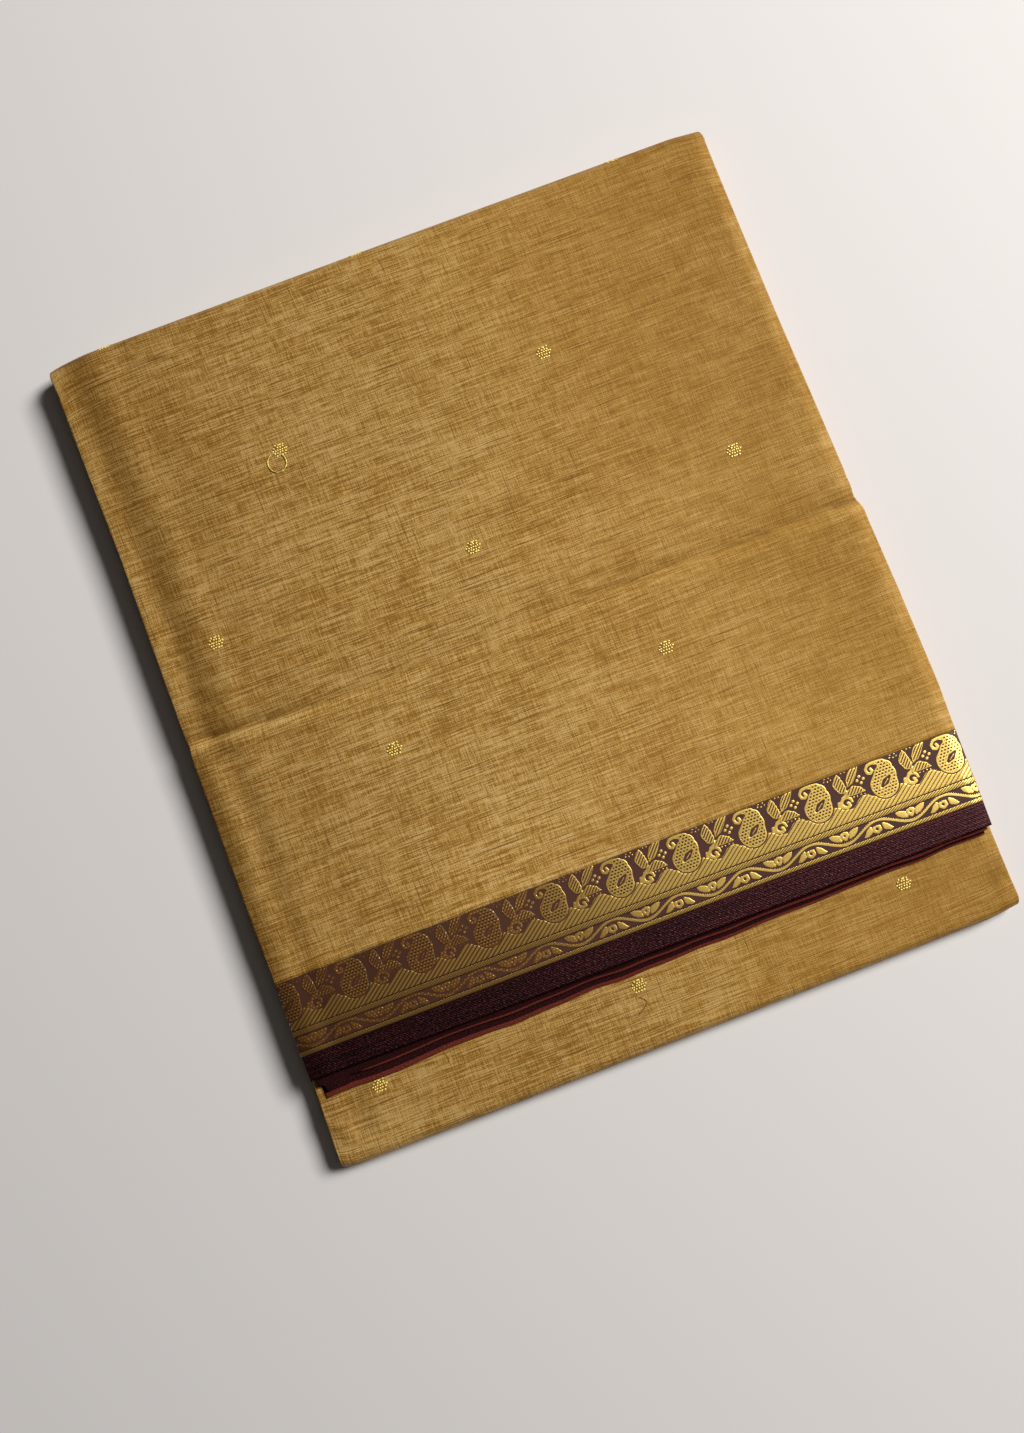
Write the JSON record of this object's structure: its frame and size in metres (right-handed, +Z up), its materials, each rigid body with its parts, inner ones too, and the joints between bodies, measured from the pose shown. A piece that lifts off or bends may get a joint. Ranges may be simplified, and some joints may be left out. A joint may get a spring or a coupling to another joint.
{
  "type": "folded saree",
  "caption": "Woven saree folded into a flat bundle, with a gold-figured border and dark selvage lying across the lower leaf.",
  "frame": {"origin": "middle of the bundle's footprint, on the surface it lies on", "axes": "+X along the border, +Y towards the top fold, +Z up out of the top leaf"},
  "size_m": [0.3579, 0.4245, 0.0163],
  "materials": {
    "cloth": "silk-cotton weave with slubs and a soft sheen",
    "zari": "gold thread figures on a maroon ground",
    "stripe": "dark satin twill",
    "selvage": "close plain-woven edge"
  },
  "bodies": {
    "root": {"top_leaf": "cloth", "top_border": "zari", "top_selvage": "stripe", "under_selvage_upper": "selvage", "under_selvage_lower": "selvage", "lower_leaf": "cloth", "back_leaf": "cloth", "inner_plies": "cloth"}
  },
  "joints": []
}
